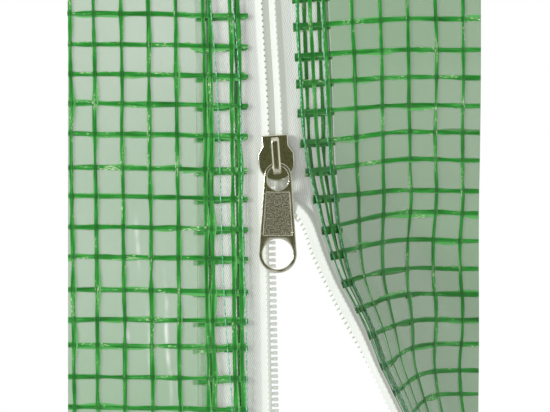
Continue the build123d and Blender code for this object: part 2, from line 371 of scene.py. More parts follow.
class Finish(Nodes):
    def __init__(self, name, **sockets):
        self.material = bpy.data.materials.new(name)
        self.material.use_nodes = True
        super().__init__(self.material.node_tree)
        self.shader = self.nodes["Principled BSDF"]
        for socket, value in sockets.items():
            self.feed(value, socket.replace("_", " "))

    def feed(self, value, socket):
        self.put(value, self.shader.inputs[socket])

    def where(self, source="Object"):
        return self.nodes.new("ShaderNodeTexCoord").outputs[source]

    def attribute(self, name):
        node = self.nodes.new("ShaderNodeAttribute")
        node.attribute_name = name
        return node.outputs["Fac"]

    def group(self, tree, vector, **sockets):
        node = self.nodes.new("ShaderNodeGroup")
        node.node_tree = tree
        self.put(vector, node.inputs["Vector"])
        for socket, value in sockets.items():
            self.put(value, node.inputs[socket])
        return node.outputs["Value"]

    def bump(self, height, depth):
        node = self.nodes.new("ShaderNodeBump")
        node.inputs["Strength"].default_value = 1.0
        node.inputs["Distance"].default_value = depth * mm
        self.put(height, node.inputs["Height"])
        self.feed(node.outputs[0], "Normal")
        return node


def newGroup(name, **inputs):
    tree = bpy.data.node_groups.new(name, "ShaderNodeTree")
    tree.interface.new_socket(name="Vector", in_out="INPUT", socket_type="NodeSocketVector")
    for label, value in inputs.items():
        socket = tree.interface.new_socket(name=label, in_out="INPUT", socket_type="NodeSocketFloat")
        socket.default_value = value
    tree.interface.new_socket(name="Value", in_out="OUTPUT", socket_type="NodeSocketFloat")
    given, result = tree.nodes.new("NodeGroupInput"), tree.nodes.new("NodeGroupOutput")
    return tree, Nodes(tree), given.outputs, result.inputs["Value"]


# Noise of a given size, drawn out along one direction, from 0 to 1
def makeStreakGroup():
    tree, work, given, result = newGroup("streaks", Across=2000.0, Along=100.0, Detail=3.0)
    drawn = work.nodes.new("ShaderNodeCombineXYZ")
    for part, size, socket in zip(work.apart(given["Vector"]), ("Across", "Along", "Across"), drawn.inputs):
        work.put(work.times(part, given[size]), socket)
    work.put(work.noise(drawn.outputs[0], 1.0, given["Detail"]), result)
    return tree


# Diagonal threads of a twill, from 0 in the grooves to 1 on the threads
def makeTwillGroup():
    tree, work, given, result = newGroup("twill", Threads=2200.0, Slant=0.5)
    x, y, z = work.apart(given["Vector"])
    crossing = work.minus(x, work.times(y, given["Slant"]))
    shift = work.times(work.noise(given["Vector"], 900.0), 0.0004)
    turned = work.times(work.plus(crossing, shift), given["Threads"])
    wave = work.calc("SINE", work.times(turned, 2 * math.pi))
    work.put(work.plus(work.times(wave, 0.5), 0.5), result)
    return tree


streakGroup = makeStreakGroup()
twillGroup = makeTwillGroup()


# Clear film with a green haze, lighter towards the top, clearer over the hem, with painted highlights along its
# creases
def coverFilm(name, deep, light):
    look = {"freeAlpha": 0.56, "hemAlpha": 0.03, "shade": 0.9, "fade": 4.0, "creases": 0.75}
    film = Finish(name, Roughness=0.16, IOR=1.5)
    where = film.where()
    x, y, z = film.apart(where)
    tone = film.plus(film.noise(where, 14.0), film.times(z, look["fade"]), clamp=True)
    # Painted highlight: the crease mark blends the film towards white along its creases, standing in for light
    # caught there
    lines = film.times(film.attribute("crease"), look["creases"])
    film.feed(film.blend(lines, film.blend(tone, deep, light), (0.95, 0.98, 0.95)), "Base Color")
    clearing = film.times(film.attribute("hem"), look["hemAlpha"] - look["freeAlpha"])
    passed = film.minus(1.0, film.times(film.ray("Shadow"), look["shade"]))
    film.feed(film.times(film.plus(look["freeAlpha"], clearing), passed), "Alpha")
    film.bump(film.noise(where, 160.0, 3.0), 0.12)
    return film.material


# Folded green tape: streaks along it, painted highlights on its rims, a darker tone where two tapes lie over each
# other, painted cream glints
def meshTape():
    look = {
        "tones": [(0.45, (0.006, 0.130, 0.010)), (1.1, (0.120, 0.520, 0.120)), (0.72, (0.018, 0.300, 0.028))],
        "single": 0.42,
        "rim": (0.34, 0.66, 0.30),
        "rimFrom": 0.7,
        "rimGain": 2.2,
        "under": (0.004, 0.070, 0.008),
        "underShare": 0.45,
        "glint": (0.80, 0.90, 0.62),
        "glintFrom": 0.355,
        "glintGain": 12.0,
        "glintShare": 0.75,
        "shade": 0.6,
    }
    tape = Finish("meshTape", Roughness=0.30, IOR=1.5)
    where = tape.where("UV")
    streak = tape.group(streakGroup, where, Across=1900.0, Along=130.0, Detail=3.0)
    patch = tape.group(streakGroup, where, Across=500.0, Along=90.0, Detail=1.0)
    glint = tape.group(streakGroup, where, Across=3200.0, Along=900.0, Detail=2.0)
    tone = tape.plus(tape.times(streak, 0.7), tape.times(patch, 0.7))
    tone = tape.plus(tone, tape.times(tape.attribute("single"), look["single"]))
    colour = tape.ramp(tone, look["tones"])
    # Painted highlight along the rims of each tape, where light catches the film over its edges
    rim = tape.times(tape.minus(tape.attribute("rim"), look["rimFrom"]), look["rimGain"], clamp=True)
    colour = tape.blend(tape.times(rim, streak), colour, look["rim"])
    colour = tape.blend(tape.times(tape.attribute("doubled"), look["underShare"]), colour, look["under"])
    # Painted glints: cream specks in the colour that stand in for highlights
    spots = tape.times(tape.minus(tape.times(glint, patch), look["glintFrom"]), look["glintGain"], clamp=True)
    tape.feed(tape.blend(tape.times(spots, look["glintShare"]), colour, look["glint"]), "Base Color")
    tape.feed(tape.minus(1.0, tape.times(tape.ray("Shadow"), look["shade"])), "Alpha")
    tape.bump(streak, 0.10)
    return tape.material


def stitchThread():
    thread = Finish("stitchThread", Roughness=0.34)
    tone = thread.noise(thread.where(), 1500.0)
    thread.feed(thread.ramp(tone, [(0.35, (0.03, 0.36, 0.17)), (0.7, (0.42, 0.90, 0.62))]), "Base Color")
    thread.bump(tone, 0.06)
    return thread.material


# White twill, darker in its grooves and in the needle holes of the coil's seam, with painted shade just right of
# its crest
def zipTwill():
    look = {
        "pale": [(0.79, 0.83, 0.77), (0.87, 0.91, 0.85)],
        "groove": (0.54, 0.57, 0.52),
        "slope": (0.62, 0.66, 0.55),
        "shadeFrom": 0.4,
        "shadeTo": 2.6,
        "hole": (0.15, 0.18, 0.15),
        "holeAcross": 0.36,
        "holeAlong": 0.42,
        "firstHole": 0.3,
    }
    twill = Finish("zipTwill", Roughness=0.72, Sheen_Weight=0.15)
    where = twill.where("UV")
    across, along, unused = twill.apart(where)
    threads = twill.group(twillGroup, where, Threads=1750.0, Slant=0.42)
    flat = twill.attribute("flat")
    grooves = twill.times(twill.times(twill.minus(1.0, threads), flat), 0.6)
    colour = twill.blend(grooves, twill.blend(twill.noise(where, 260.0, 3.0), *look["pale"]), look["groove"])
    # Painted shade on the slope just right of the crest, which turns away from the light
    past = twill.calc("DIVIDE", across, look["shadeFrom"] * mm, clamp=True)
    short = twill.minus(look["shadeTo"], twill.calc("DIVIDE", across, mm), clamp=True)
    colour = twill.blend(twill.times(twill.times(past, short), 0.55), colour, look["slope"])
    pitch, start = zipShape["pitch"] * mm, (tall - look["firstHole"]) * mm
    turns = twill.calc("DIVIDE", twill.minus(start + pitch * 100.5, along), pitch)
    gap = twill.calc("ABSOLUTE", twill.minus(twill.calc("FRACT", turns), 0.5))
    near = twill.minus(1.0, twill.times(gap, zipShape["pitch"] / look["holeAlong"]), clamp=True)
    side = twill.calc("DIVIDE", twill.calc("ABSOLUTE", across), look["holeAcross"] * mm)
    near = twill.times(near, twill.minus(1.0, side, clamp=True))
    near = twill.times(twill.times(near, twill.attribute("sewn")), 1.3, clamp=True)
    colour = twill.blend(near, colour, look["hole"])
    twill.feed(colour, "Base Color")
    twill.feed(colour, "Emission Color")  # painted light: a glow that brightens the cloth behind the hems and in the right bend
    twill.feed(twill.attribute("lit"), "Emission Strength")
    twill.bump(twill.times(threads, twill.plus(0.15, twill.times(flat, 0.85))), 0.06)
    return twill.material


# Nylon coil with painted light: a faint glow that keeps it bright where it lies in shade
def glowingZipNylon():
    nylon = Finish("glowingZipNylon", Roughness=0.38, IOR=1.53, Emission_Color=(0.88, 0.93, 0.83), Emission_Strength=0.12)
    tone = nylon.noise(nylon.where(), 900.0)
    nylon.feed(nylon.blend(tone, (0.78, 0.82, 0.76), (0.88, 0.91, 0.86)), "Base Color")
    nylon.bump(tone, 0.03)
    return nylon.material


# Nickel plate with a little haze, and a shaded roundness at the edges of the thin pieces
def nickel(name, roundness):
    metal = Finish(name, Metallic=1.0)
    where = metal.where()
    haze = metal.noise(where, 420.0, 3.0)
    metal.feed(metal.blend(haze, (0.56, 0.55, 0.43), (0.70, 0.68, 0.56)), "Base Color")
    metal.feed(metal.plus(0.07, metal.times(metal.noise(where, 900.0, 3.0), 0.16)), "Roughness")
    surface = metal.bump(haze, 0.02)
    if roundness:
        edges = metal.nodes.new("ShaderNodeBevel")
        edges.samples = 6
        edges.inputs["Radius"].default_value = roundness * mm
        metal.put(edges.outputs[0], surface.inputs["Normal"])
    return metal.material


def grainNickel():
    metal = Finish("grainNickel", Metallic=1.0, Roughness=0.4)
    grain = metal.noise(metal.where(), 2600.0, 3.0)
    metal.feed(metal.ramp(grain, [(0.38, (0.08, 0.08, 0.045)), (0.64, (0.50, 0.48, 0.36))]), "Base Color")
    metal.bump(grain, 0.12)
    return metal.material


leftCoverMaterial = coverFilm("coverFilmLeft", (0.15, 0.40, 0.14), (0.60, 0.70, 0.59))
# The right panel's film is a darker copy of the same film: painted shade for the panel that turns away from the
# light
shadedRightCoverMaterial = coverFilm("coverFilmRightShaded", (0.055, 0.30, 0.035), (0.22, 0.40, 0.20))
tapeMaterial = meshTape()
stitchMaterial = stitchThread()
twillMaterial = zipTwill()
nylonMaterial = glowingZipNylon()
nickelMaterial = nickel("nickelPlate", 0.0)
bailMaterial = nickel("nickelBail", 0.7)
pullMaterial = nickel("nickelPull", 0.45)
grainMaterial = grainNickel()
print("materials made")

# Left panel: front, fold and hem are one sheet, measured along from its cut edge
leftPanel = {
    "foldTop": 50.9,
    "foldBottom": 51.6,
    "turn": 0.15,
    "hem": 14.4,
    "film": 0.1,
    "drift": 1.5,
    "rows": [54.7, 45.9, 37.4, 29.0, 20.3, 10.6, 2.4, -6.3, -14.8, -24.2, -32.7, -40.1, -49.1, -57.8],
    "droop": 0.75,
    "warps": [0.7, 7.5, 15.3, 23.1, 30.9, 38.9, 40.7, 46.6, 48.9],
    "hemWarps": [39.9, 48.0],
    "warpWidth": 0.95,
    "milky": 2.7,
    "creases": [
        (28.6, -39.0, 14.0), (20.0, -10.6, 5.0), (23.4, -41.0, 7.0), (17.1, -35.4, 5.0), (32.0, -54.0, 6.0),
    ],
}


def leftFold(z):
    return mix(leftPanel["foldBottom"], leftPanel["foldTop"], (z - bottom) / tall)


# Where a point of the left sheet lies, and how far it stands off the film
def leftSpot(along, z, off):
    turn = leftPanel["turn"]
    flat = leftFold(z) - turn
    if along <= flat:
        return Vector((along, -off, z))
    if along <= flat + math.pi * turn:
        angle = (along - flat) / turn
        return Vector((flat + (turn + off) * math.sin(angle), turn - (turn + off) * math.cos(angle), z))
    return Vector((2 * flat + math.pi * turn - along, 2 * turn + off, z))


# How high the film stands in its creases: thin leaning lines that come and go
def crease(x, z):
    rise = 0.0
    for place, middle, reach in leftPanel["creases"]:
        lean = place + 0.05 * (middle - z) + 0.5 * wobble(place, z, 9.0)
        part = max(0.55 + 0.9 * wobble(place + 3, z, 4.0), 0.0)
        rise += 0.30 * part * math.exp(-(((x - lean) / 0.55) ** 2) - ((z - middle) / reach) ** 2)
    return rise


def leftFilm():
    turn, hem = leftPanel["turn"], leftPanel["hem"]
    columns, roundSteps, hemSteps, rows = 240, 6, 16, 150
    steps = columns + roundSteps + hemSteps

    def alongOf(u, z):
        flat, step = leftFold(z) - turn, u * steps
        if step <= columns:
            return flat * step / columns
        if step <= columns + roundSteps:
            return flat + math.pi * turn * (step - columns) / roundSteps
        return flat + math.pi * turn + hem * (step - columns - roundSteps) / hemSteps

    def spot(u, v):
        z = heightOf(v)
        along = alongOf(u, z)
        place = leftSpot(along, z, 0.0)
        if along < leftFold(z) - 1.5:
            place.y -= crease(along, z) + 0.05 * wobble(4.0, along + z * 0.4, 5.0)
        return place

    # Clear over the hem, whose back layer turns milky towards its cut edge
    def hemShare(index, place):
        start = leftFold(place.z) - hem
        if index % (steps + 1) > columns + roundSteps / 2:
            start += leftPanel["milky"]
        return ease(start - 0.3, start + 0.3, place.x)

    width = leftPanel["foldTop"] + math.pi * turn + hem
    sheet = laidGrid("leftFilm", steps, rows, spot, lambda u, v: (u * width, v * tall))
    markPoints(sheet, "hem", hemShare)
    # The crease mark tells the film's material where to paint its crease highlights
    markPoints(sheet, "crease", lambda index, place: min(crease(place.x, place.z) / 0.25, 1.0))
    thicken(sheet, leftPanel["film"])
    return finishPiece(sheet, 60, leftCoverMaterial, "cover_film", "left_film"), width


# How a flat mesh tape looks: it is folded over on itself, and in stretches a single layer hangs out of the fold
strandShape = {
    "half": 0.70,
    "wave": 0.20,
    "pinch": 0.34,
    "single": 0.50,
    "thick": 0.07,
    "bow": 0.06,
    "narrow": 0.84,
    "wide": 1.10,
    "crossFrom": 0.95,
    "crossTo": 0.45,
}

# How far the layers of tape and thread lie from the film
levels = {"weft": 0.2, "warp": 0.4, "hemWeft": 0.15, "leftHemWarp": 0.4, "rightHemWarp": 0.7, "seam": 0.52}
down, right = Vector((0, 0, -1)), Vector((1, 0, 0))


def strandHalf(key, along):
    pinch = max(wobble(key + 0.5, along, 8.0) - 0.12, 0.0)
    return strandShape["half"] + strandShape["wave"] * wobble(key, along, 4.5) - strandShape["pinch"] * pinch


def singleHalf(key, along):
    return max(strandShape["single"] * (wobble(key + 0.7, along, 11.0) * 1.5 + 0.22), 0.02)


# A flat mesh tape laid along a line, bowed a little across
def tapeRibbon(steps, spot, side, half, length, key, single=0.0, bow=strandShape["bow"], crossed=None):
    columns = 4

    def laid(u, v):
        across = (u - 0.5) * 2
        sideways = side(v) if callable(side) else side
        return spot(v) + sideways * (across * half(v)) + Vector((0, -bow * (1 - across * across), 0))

    ribbon = laidGrid("ribbon", columns, steps, laid, lambda u, v: (u * 1.4 + key * 3.7, v * length + key * 17.0))
    markPoints(ribbon, "single", lambda index, place: single)
    markPoints(ribbon, "doubled", lambda index, place: crossed(place.x, place.z) if crossed else 0.0)
    # The rim mark places each tape's painted rim highlight
    markPoints(ribbon, "rim", lambda index, place: abs(index % (columns + 1) - columns / 2) / (columns / 2))
    return ribbon


# How far a place lies over one of the tapes that run across, from 0 to 1
def crossing(lines):
    def crossed(x, z):
        gap = min(abs(z - line(x)) for line in lines)
        return ease(strandShape["crossFrom"], strandShape["crossTo"], gap)

    return crossed


# A tape that runs across a panel, the single layer that hangs out above or below it, and its end in the hem
def laidAcross(steps, spot, hemSpot, hemSide, lengths, base, size, reach=1.0, starts=(-2, -1), crossed=None):
    def half(v):
        return strandHalf(base + 30, v * size)

    def flapHalf(v):
        return singleHalf(base + 56, v * size) * ease(*starts, v)

    def flapSpot(v):
        place = spot(v * reach)
        place.y += 0.08
        side = 1 if wobble(base + 76, v * size, 17.0) > -0.1 else -1
        place.z -= side * (half(v) * 0.75 + singleHalf(base + 56, v * size))
        return place

    return (
        tapeRibbon(steps, spot, down, half, lengths[0], base, crossed=crossed),
        tapeRibbon(steps, flapSpot, down, flapHalf, lengths[0], base + 20, single=1.0, bow=0.02),
        tapeRibbon(24, hemSpot, hemSide, half, lengths[1], base + 40, bow=-0.03, crossed=crossed),
    )


# Tapes that run down are narrower between the ones that they cross
def downHalf(key, over, x, z):
    return strandHalf(key + 40, z) * mix(strandShape["narrow"], strandShape["wide"], over(x, z))


def leftLine(row):
    height = leftPanel["rows"][row]

    def line(x):
        share = max(x, 0.0) / leftFold(height)
        return height - leftPanel["droop"] * share**1.6 + 0.22 * wobble(row + 11, x, 11.0) + 0.35

    return line


leftLines = [leftLine(row) for row in range(len(leftPanel["rows"]))]


def leftWeft(row):
    line, flatEnd = leftLines[row], leftFold(leftPanel["rows"][row])

    def spot(v):
        along = v * (flatEnd + 0.32)
        place = leftSpot(along, 0.0, levels["weft"])
        place.z = line(min(along, flatEnd))
        return place

    def hemSpot(v):
        place = leftSpot(flatEnd + 0.1 + v * (leftPanel["hem"] + 1.0), 0.0, -levels["hemWeft"])
        place.z = line(flatEnd) - 0.3 - 0.75 * v
        return place

    return laidAcross(150, spot, hemSpot, -down, (flatEnd, leftPanel["hem"]), row + 1, 52, reach=0.985)


def leftWarp(key, x, level, over):
    def spot(v):
        z = heightOf(v)
        along = x + leftPanel["drift"] * (1 - v) - 0.3 + 0.32 * wobble(key, z, 13.0)
        return leftSpot(along, z, -level) if level < 0 else Vector((along, 2 * leftPanel["turn"] + level, z))

    def half(v):
        return downHalf(key, over, x, heightOf(v)) * leftPanel["warpWidth"]

    def flapHalf(v):
        return 0.7 * singleHalf(key + 60, heightOf(v))

    def flapSpot(v):
        place = spot(v)
        place.y += 0.04
        place.x += strandHalf(key + 40, heightOf(v)) * 0.7 + flapHalf(v)
        return place

    ribbons = [tapeRibbon(300, spot, right, half, tall, key, crossed=over)]
    if level < 0:
        ribbons.append(tapeRibbon(150, flapSpot, right, flapHalf, tall, key + 20, single=0.8, bow=0.02))
    return ribbons


# Right panel, measured along its bend from the fold
rightPanel = {
    "edgeRows": [
        59.6, 51.5, 42.9, 35.3, 26.9, 18.3, 10.0, 2.3, -6.6, -13.8, -21.7, -28.8, -36.1, -44.7, -52.1, -59.2,
    ],
    "cutRows": [
        61.0, 53.3, 44.6, 36.7, 28.7, 20.9, 13.1, 4.3, -2.2, -10.1, -18.2, -25.5, -32.8, -39.7, -47.5, -54.3,
    ],
    "warps": [(1.4, 0), (5.1, 0), (9.1, 0), (17.0, 0.2), (25.0, 0.5), (32.9, 0.7), (40.9, 1.3), (48.8, 1.4)],
    "hemWarps": [(3.2, 0), (7.4, 0)],
    "warpWidth": 0.92,
    "hem": 10.3,
    "milky": 1.3,
    "turn": 0.15,
    "film": 0.1,
    "inside": 0.8,
}


def rightFilm():
    turn, hem = rightPanel["turn"], rightPanel["hem"]
    hemSteps, turnSteps, columns, rows = 16, 6, 150, 150
    steps = hemSteps + turnSteps + columns

    # Steps are closer where the panel is seen along its face, near the fold
    def runOf(share, z):
        far = cutEdge - foldLine.at(z)
        return min(runAt(z, arcLength(z) * share), far) if share < 1 else far

    def spot(u, v):
        z, step = heightOf(v), u * steps
        if step < hemSteps:
            return rightSpot(runAt(z, hem * (1 - step / hemSteps)), z, 2 * turn * tight(z))
        if step <= hemSteps + turnSteps:
            angle = math.pi * (step - hemSteps) / turnSteps
            outwards = (rightSpot(0.0, z, 0.0) - rightSpot(0.05, z, 0.0)).normalized()
            return rightSpot(0.0, z, (turn + turn * math.cos(angle)) * tight(z)) + outwards * turn * math.sin(angle)
        run = runOf((step - hemSteps - turnSteps) / columns, z)
        place = rightSpot(run, z, 0.0)
        place.y += 0.06 * wobble(9.0, run + z * 0.3, 6.0)
        return place

    # Clear over the hem, as on the left
    def hemShare(index, place):
        behind = index % (steps + 1) < hemSteps + turnSteps / 2
        end = runAt(place.z, hem - (rightPanel["milky"] if behind else 0.0)) - 0.5 * opening(place.z)
        return 1 - ease(end - 0.3, end + 0.3, place.x - foldLine.at(place.z))

    width = hem + arcLength(0.0)
    sheet = laidGrid("rightFilm", steps, rows, spot, lambda u, v: (u * width, v * tall))
    markPoints(sheet, "hem", hemShare)
    thicken(sheet, rightPanel["film"])
    return finishPiece(sheet, 60, shadedRightCoverMaterial, "cover_film", "right_film", "right_hem_flap"), width


# The tapes across the right panel rise towards its cut edge, and lower down they rise later
def rightLineOf(row):
    low, high = rightPanel["edgeRows"][row], rightPanel["cutRows"][row]
    late = ease(-10.0, -52.0, low)
    whole, first = arcLength(low), foldLine.at(low)

    def line(x):
        share = arcAt(low, max(x - first, 0.0)) / whole
        rise = ease(mix(-0.05, 0.15, late), mix(0.62, 0.8, late), share)
        hump = mix(0.12, 0.02, late) * math.sin(math.pi * ease(0.3, 1.0, share))
        return low + (high - low) * (rise + hump) + 0.2 * wobble(row + 71, x, 11.0)

    return line


rightLines = [rightLineOf(row) for row in range(len(rightPanel["edgeRows"]))]


def rightWeft(row):
    low, line = rightPanel["edgeRows"][row], rightLines[row]
    whole, first, hemEnd = arcLength(low), foldLine.at(low), runAt(low, rightPanel["hem"])

    def inside(z):
        return min(max(z, bottom + rightPanel["inside"]), top - rightPanel["inside"])

    def spot(v):
        x = first + runAt(low, v * whole)
        z = inside(line(x))
        place = rightSpot(max(x - foldLine.at(z), 0.0), z, -levels["weft"])
        place.x = min(place.x, cutEdge)
        return place

    def hemSpot(v):
        z = inside(low - 1.05 + 0.7 * v)
        return rightSpot(runAt(z, v * (rightPanel["hem"] + 0.5)), z, levels["hemWeft"] * tight(z))

    def overHem(x, z):
        return 0.9 * ease(hemEnd + 0.3, hemEnd - 0.3, x - first)

    lengths = (whole, rightPanel["hem"])
    return laidAcross(160, spot, hemSpot, down, lengths, row + 61, 60, starts=(0.2, 0.4), crossed=overHem)


def rightWarp(key, place, level, over):
    arc, pull = place

    def runHere(v):
        z = heightOf(v)
        held = pull * ease(56.0, 20.0, z) * ease(-30.0, -5.0, z)
        run = runAt(z, arc + 0.25 * wobble(key, z, 13.0)) - held
        return min(run, cutEdge - foldLine.at(z) - rightPanel["inside"]), z

    def spot(v):
        run, z = runHere(v)
        return rightSpot(run, z, level * (tight(z) if level > 0 else 1))

    def side(v):
        run, z = runHere(v)
        return (rightSpot(run + 0.3, z, level) - rightSpot(run, z, level)).normalized()

    def half(v):
        run, z = runHere(v)
        return downHalf(key, over, foldLine.at(z) + run, z) * rightPanel["warpWidth"]

    return [tapeRibbon(300, spot, side, half, tall, key, crossed=over)]


def dressMesh():
    parts = {}
    for hand, weft, warp, panel, lines, seed in (
        ("left", leftWeft, leftWarp, leftPanel, leftLines, 201),
        ("right", rightWeft, rightWarp, rightPanel, rightLines, 301),
    ):
        laid, over = [weft(row) for row in range(len(lines))], crossing(lines)
        parts[hand, "Weft"] = [ribbon for strand in laid for ribbon in strand[:2]]
        parts[hand, "HemWeft"] = [strand[2] for strand in laid]
        for kind, places, level, first in (
            ("Warp", panel["warps"], -levels["warp"], seed),
            ("HemWarp", panel["hemWarps"], levels[hand + "HemWarp"], seed + 30),
        ):
            parts[hand, kind] = sum((warp(first + i, place, level, over) for i, place in enumerate(places)), [])
    made = {}
    for (hand, kind), ribbons in parts.items():
        name = f"{hand}{kind}Tapes"
        piece = joined(ribbons, name)
        thicken(piece, strandShape["thick"])
        node = f"{hand}_{kind}_tapes".replace("HemW", "hem_w").lower()
        made[name] = finishPiece(piece, 50, tapeMaterial, "mesh_tape", node)
    return made


leftSheet, leftWidth = leftFilm()
rightSheet, rightWidth = rightFilm()
print("film laid")
meshPieces = dressMesh()
print("mesh tapes laid")


# Zip tapes, raised in a ridge over the coil. Each point is how far it lies from the zip line and how high it stands
zipTape = {
    "closed": [(0.05, 0.14), (1.0, 0.42), (1.9, 0.68), (3.0, 0.32), (4.1, 0.02)],
    "leftOpen": [(1.2, 0.56), (1.6, 0.64), (2.1, 0.60), (3.1, 0.28), (4.3, 0.02)],
    "rightOpenShares": [0.20, 0.44, 0.68, 0.84, 0.95],
    "rightOpenRises": [2.75, 3.20, 3.60, 2.80, 1.30],
    "crest": 2,
    "openFrom": 4.0,
    "openTo": -4.0,
    "leftWidth": 21.3,
    "leftFoot": 5.6,
    # Strengths of the painted glow on the tapes
    "leftPaintedGlow": 0.26,
    "rightPaintedGlow": 0.30,
    "bendPaintedGlow": 0.46,
    "rightBare": 6.8,
    "flatFrom": 4.0,
}


def leftProfile(z):
    share = ease(zipTape["openFrom"], zipTape["openTo"], z)
    points = []
    for closed, opened in zip(zipTape["closed"], zipTape["leftOpen"]):
        across, rise = mix(closed[0], opened[0], share), mix(closed[1], opened[1], share)
        points.append(Vector((closedLine.at(z) - across, zipShape["tapeFront"] - rise, z)))
    return points + [Vector((closedLine.at(z) - zipTape["leftFoot"], zipShape["tapeFront"], z))]


def rightProfile(z):
    share, level = opening(z), zipShape["tapeFront"]
    nose = rightLine(z) - zipShape["nose"]
    width = foldLine.at(z) - nose
    points = []
    for closed, part, lifted in zip(zipTape["closed"], zipTape["rightOpenShares"], zipTape["rightOpenRises"]):
        x = mix(rightLine(z) + closed[0], nose + part * width, share)
        points.append(Vector((x, liftAt(z) + level - mix(closed[1], lifted, share), z)))
    return points + [rightSpot(runAt(z, rightPanel["hem"] * i / 4), z, level * tight(z)) for i in range(5)]


stringerStep = 0.5


# Lengths along the right stringer's crest and the heights they reach, from the top down
def makeStringer():
    z, last = top, rightProfile(top)[zipTape["crest"]]
    table = [(0.0, top)]
    while z > bottom:
        z -= stringerStep
        place = rightProfile(z)[zipTape["crest"]]
        table.append((table[-1][0] + (place - last).length, z))
        last = place
    return table


stringer = makeStringer()
stringerLengths = [length for length, z in stringer]


def stringerHeight(length):
    i = stepOf(stringerLengths, length)
    (a, high), (b, low) = stringer[i], stringer[i + 1]
    return high + (low - high) * (length - a) / (b - a)


def stringerLength(z):
    i = min(max(int((top - z) / stringerStep), 0), len(stringer) - 2)
    (a, high), (b, low) = stringer[i], stringer[i + 1]
    return a + (b - a) * (high - z) / (high - low)


# Marks where the twill shows, how clearly the needle holes do and how strongly the cloth glows with painted light
def finishTape(sheet, acrossOf, sewn, paintedGlowOf, node):
    flatFrom = zipTape["flatFrom"]
    markPoints(sheet, "flat", lambda index, place: ease(flatFrom - 0.3, flatFrom + 0.3, acrossOf(place)))
    markPoints(sheet, "sewn", lambda index, place: sewn * mix(0.3, 1.0, ease(8.0, 16.0, place.z)))
    markPoints(sheet, "lit", lambda index, place: paintedGlowOf(place))
    thicken(sheet, zipShape["tape"], -1)
    return finishPiece(sheet, 50, twillMaterial, "zip_tape", node)


# The tape's own map: across from the crest, and along from the bottom, so the seam's holes fall on the crest
def leftTape():
    hidden = 0.15

    def spot(u, v):
        z = heightOf(v)
        points = leftProfile(z)
        if u < hidden:
            edge = Vector((closedLine.at(z) - zipTape["leftWidth"], zipShape["tapeFront"], z))
            return mix(edge, points[-1], u / hidden)
        return throughPoints(points, (1 - (u - hidden) / (1 - hidden)) * (len(points) - 1))

    def laid(u, v):
        z = heightOf(v)
        return spot(u, v).x - leftProfile(z)[zipTape["crest"]].x, z - bottom

    def across(place):
        return closedLine.at(place.z) - place.x

    # Painted light: the tape glows left of the fold, where it lies behind the hem
    def lit(place):
        return zipTape["leftPaintedGlow"] * ease(0.6, -1.2, place.x - leftFold(place.z))

    return finishTape(laidGrid("leftZipTape", 64, 200, spot, laid), across, 1.0, lit, "left_zip_tape")


def rightTape():
    def spot(u, v):
        points = rightProfile(heightOf(v))
        return throughPoints(points, u * (len(points) - 1))

    def laid(u, v):
        z = heightOf(v)
        points = rightProfile(z)
        count, crest = u * (len(points) - 1), zipTape["crest"]
        sizes = [(b - a).length for a, b in zip(points, points[1:])]
        passed = int(min(count, len(sizes) - 1))
        reach = sum(sizes[:passed]) + sizes[passed] * (count - passed)
        return reach - sum(sizes[:crest]), tall - stringerLength(z)

    def across(place):
        opened = 9.0 if place.x > foldLine.at(place.z) else zipTape["flatFrom"] - 0.1
        return mix(place.x - rightLine(place.z), opened, opening(place.z))

    # Painted light: the tape glows from near the fold onwards, more strongly lower in the bend; shade here is the
    # glow's strength
    def lit(place):
        shade = mix(zipTape["rightPaintedGlow"], zipTape["bendPaintedGlow"], ease(20.0, -20.0, place.z))
        return shade * ease(-0.8, 0.4, place.x - foldLine.at(place.z))

    return finishTape(laidGrid("rightZipTape", 72, 200, spot, laid), across, 0.35, lit, "right_zip_tape")


leftZipTape = leftTape()
rightZipTape = rightTape()
print("zip tapes laid")

# One turn of the coil: a loop of nylon wire with a broader head at its nose
turnShape = {
    "back": 2.9,
    "depth": 2.1,
    "wire": 0.30,
    "heads": {"closed": 1.35, "free": 2.0, "bead": 2.3},
    "headFrom": -0.35,
    "endGap": 0.6,
    "freeFrom": 11.5,
}


def wound(head, matrices, name):
    deselectAll()
    depth, wire = turnShape["depth"], turnShape["wire"]
    bpy.ops.mesh.primitive_torus_add(
        major_segments=14,
        minor_segments=6,
        major_radius=(depth / 2 - wire) * mm,
        minor_radius=wire * mm,
    )
    turn = bpy.context.object
    stretch = (turnShape["back"] + zipShape["nose"] - depth) / 2 * mm
    middle = (zipShape["nose"] - turnShape["back"]) / 2 * mm
    for point in turn.data.vertices:
        point.co.x += math.copysign(stretch, point.co.x) if abs(point.co.x) > 1e-6 else 0
        point.co.x += middle
        point.co.y += depth / 2 * mm
        if point.co.x > turnShape["headFrom"] * mm:
            point.co.z *= turnShape["heads"][head]
    return copied(turn, matrices, name)


# Turns in line with the zip, to its left (1) or its right (-1)
def straightTurns(heights, side):
    found = []
    for z in heights:
        lean = Vector((closedLine.at(z + 0.5) - closedLine.at(z - 0.5), 0, 1)).normalized()
        across, rear = Vector((lean.z, 0, -lean.x)) * side, Vector((0, 1, 0))
        level = zipShape["coilFront"] - 0.2 * ease(zipTape["openFrom"], zipTape["openTo"], z)
        found.append(placed(across, rear, across.cross(rear), Vector((closedLine.at(z), level, z))))
    return found


